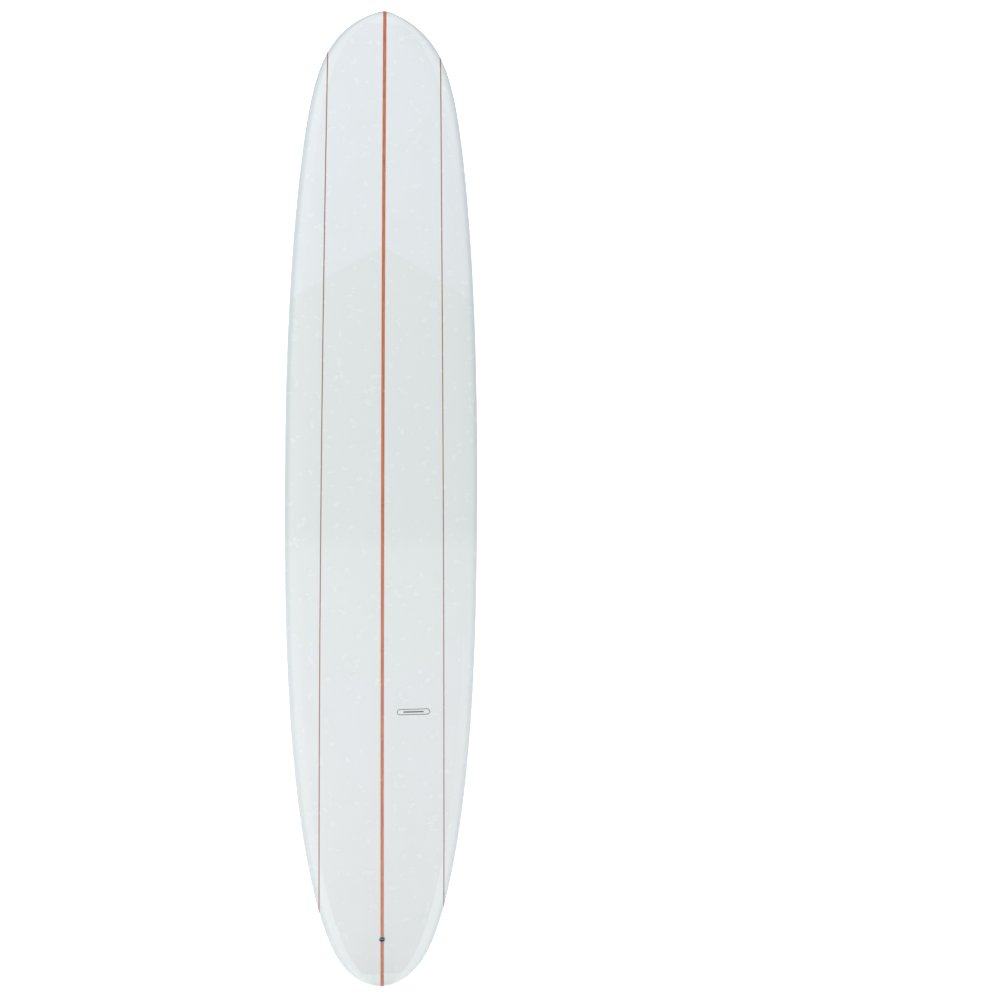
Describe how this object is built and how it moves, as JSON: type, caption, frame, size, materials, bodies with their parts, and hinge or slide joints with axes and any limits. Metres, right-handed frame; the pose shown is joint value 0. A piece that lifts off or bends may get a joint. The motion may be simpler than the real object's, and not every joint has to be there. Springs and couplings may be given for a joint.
{
  "type": "longboard surfboard",
  "caption": "Long round-nosed surfboard with a foam core between wooden stringers, a clear glass skin, a slotted fin box and a recessed leash plug.",
  "frame": {"origin": "bottom centre of the part's box, under the tail tip", "axes": "+Z from the tail to the nose, +X across the board, the deck faces -Y and the bottom faces +Y"},
  "size_m": [0.5844, 0.1375, 2.896],
  "materials": {
    "foam": "fine cut foam, matt",
    "stringer_wood": "red cedar under clear resin",
    "laminate": "glass cloth in polished resin, gloss",
    "patch": "extra glass cloth in resin, gloss",
    "mark_print": "grey print under the resin",
    "fin_box_plastic": "black moulded plastic, sanded flush",
    "potting_resin": "clear filled resin, sanded flush",
    "plug_plastic": "grey moulded plastic",
    "plug_steel": "satin stainless rod"
  },
  "bodies": {
    "root": {"foam_core_left": "foam", "foam_core_right": "foam", "foam_rail_left": "foam", "foam_rail_right": "foam", "stringer_left": "stringer_wood", "stringer_centre": "stringer_wood", "stringer_right": "stringer_wood", "glass_bottom_wrap": "laminate", "glass_deck_base": "laminate", "glass_deck_top": "laminate", "deck_patch": "patch", "decal_deck": "mark_print", "decal_bottom": "mark_print", "fin_box": "fin_box_plastic", "fin_box_resin": "potting_resin", "leash_plug_cup": "plug_plastic", "leash_plug_pin": "plug_steel", "leash_plug_resin": "potting_resin"}
  },
  "joints": []
}
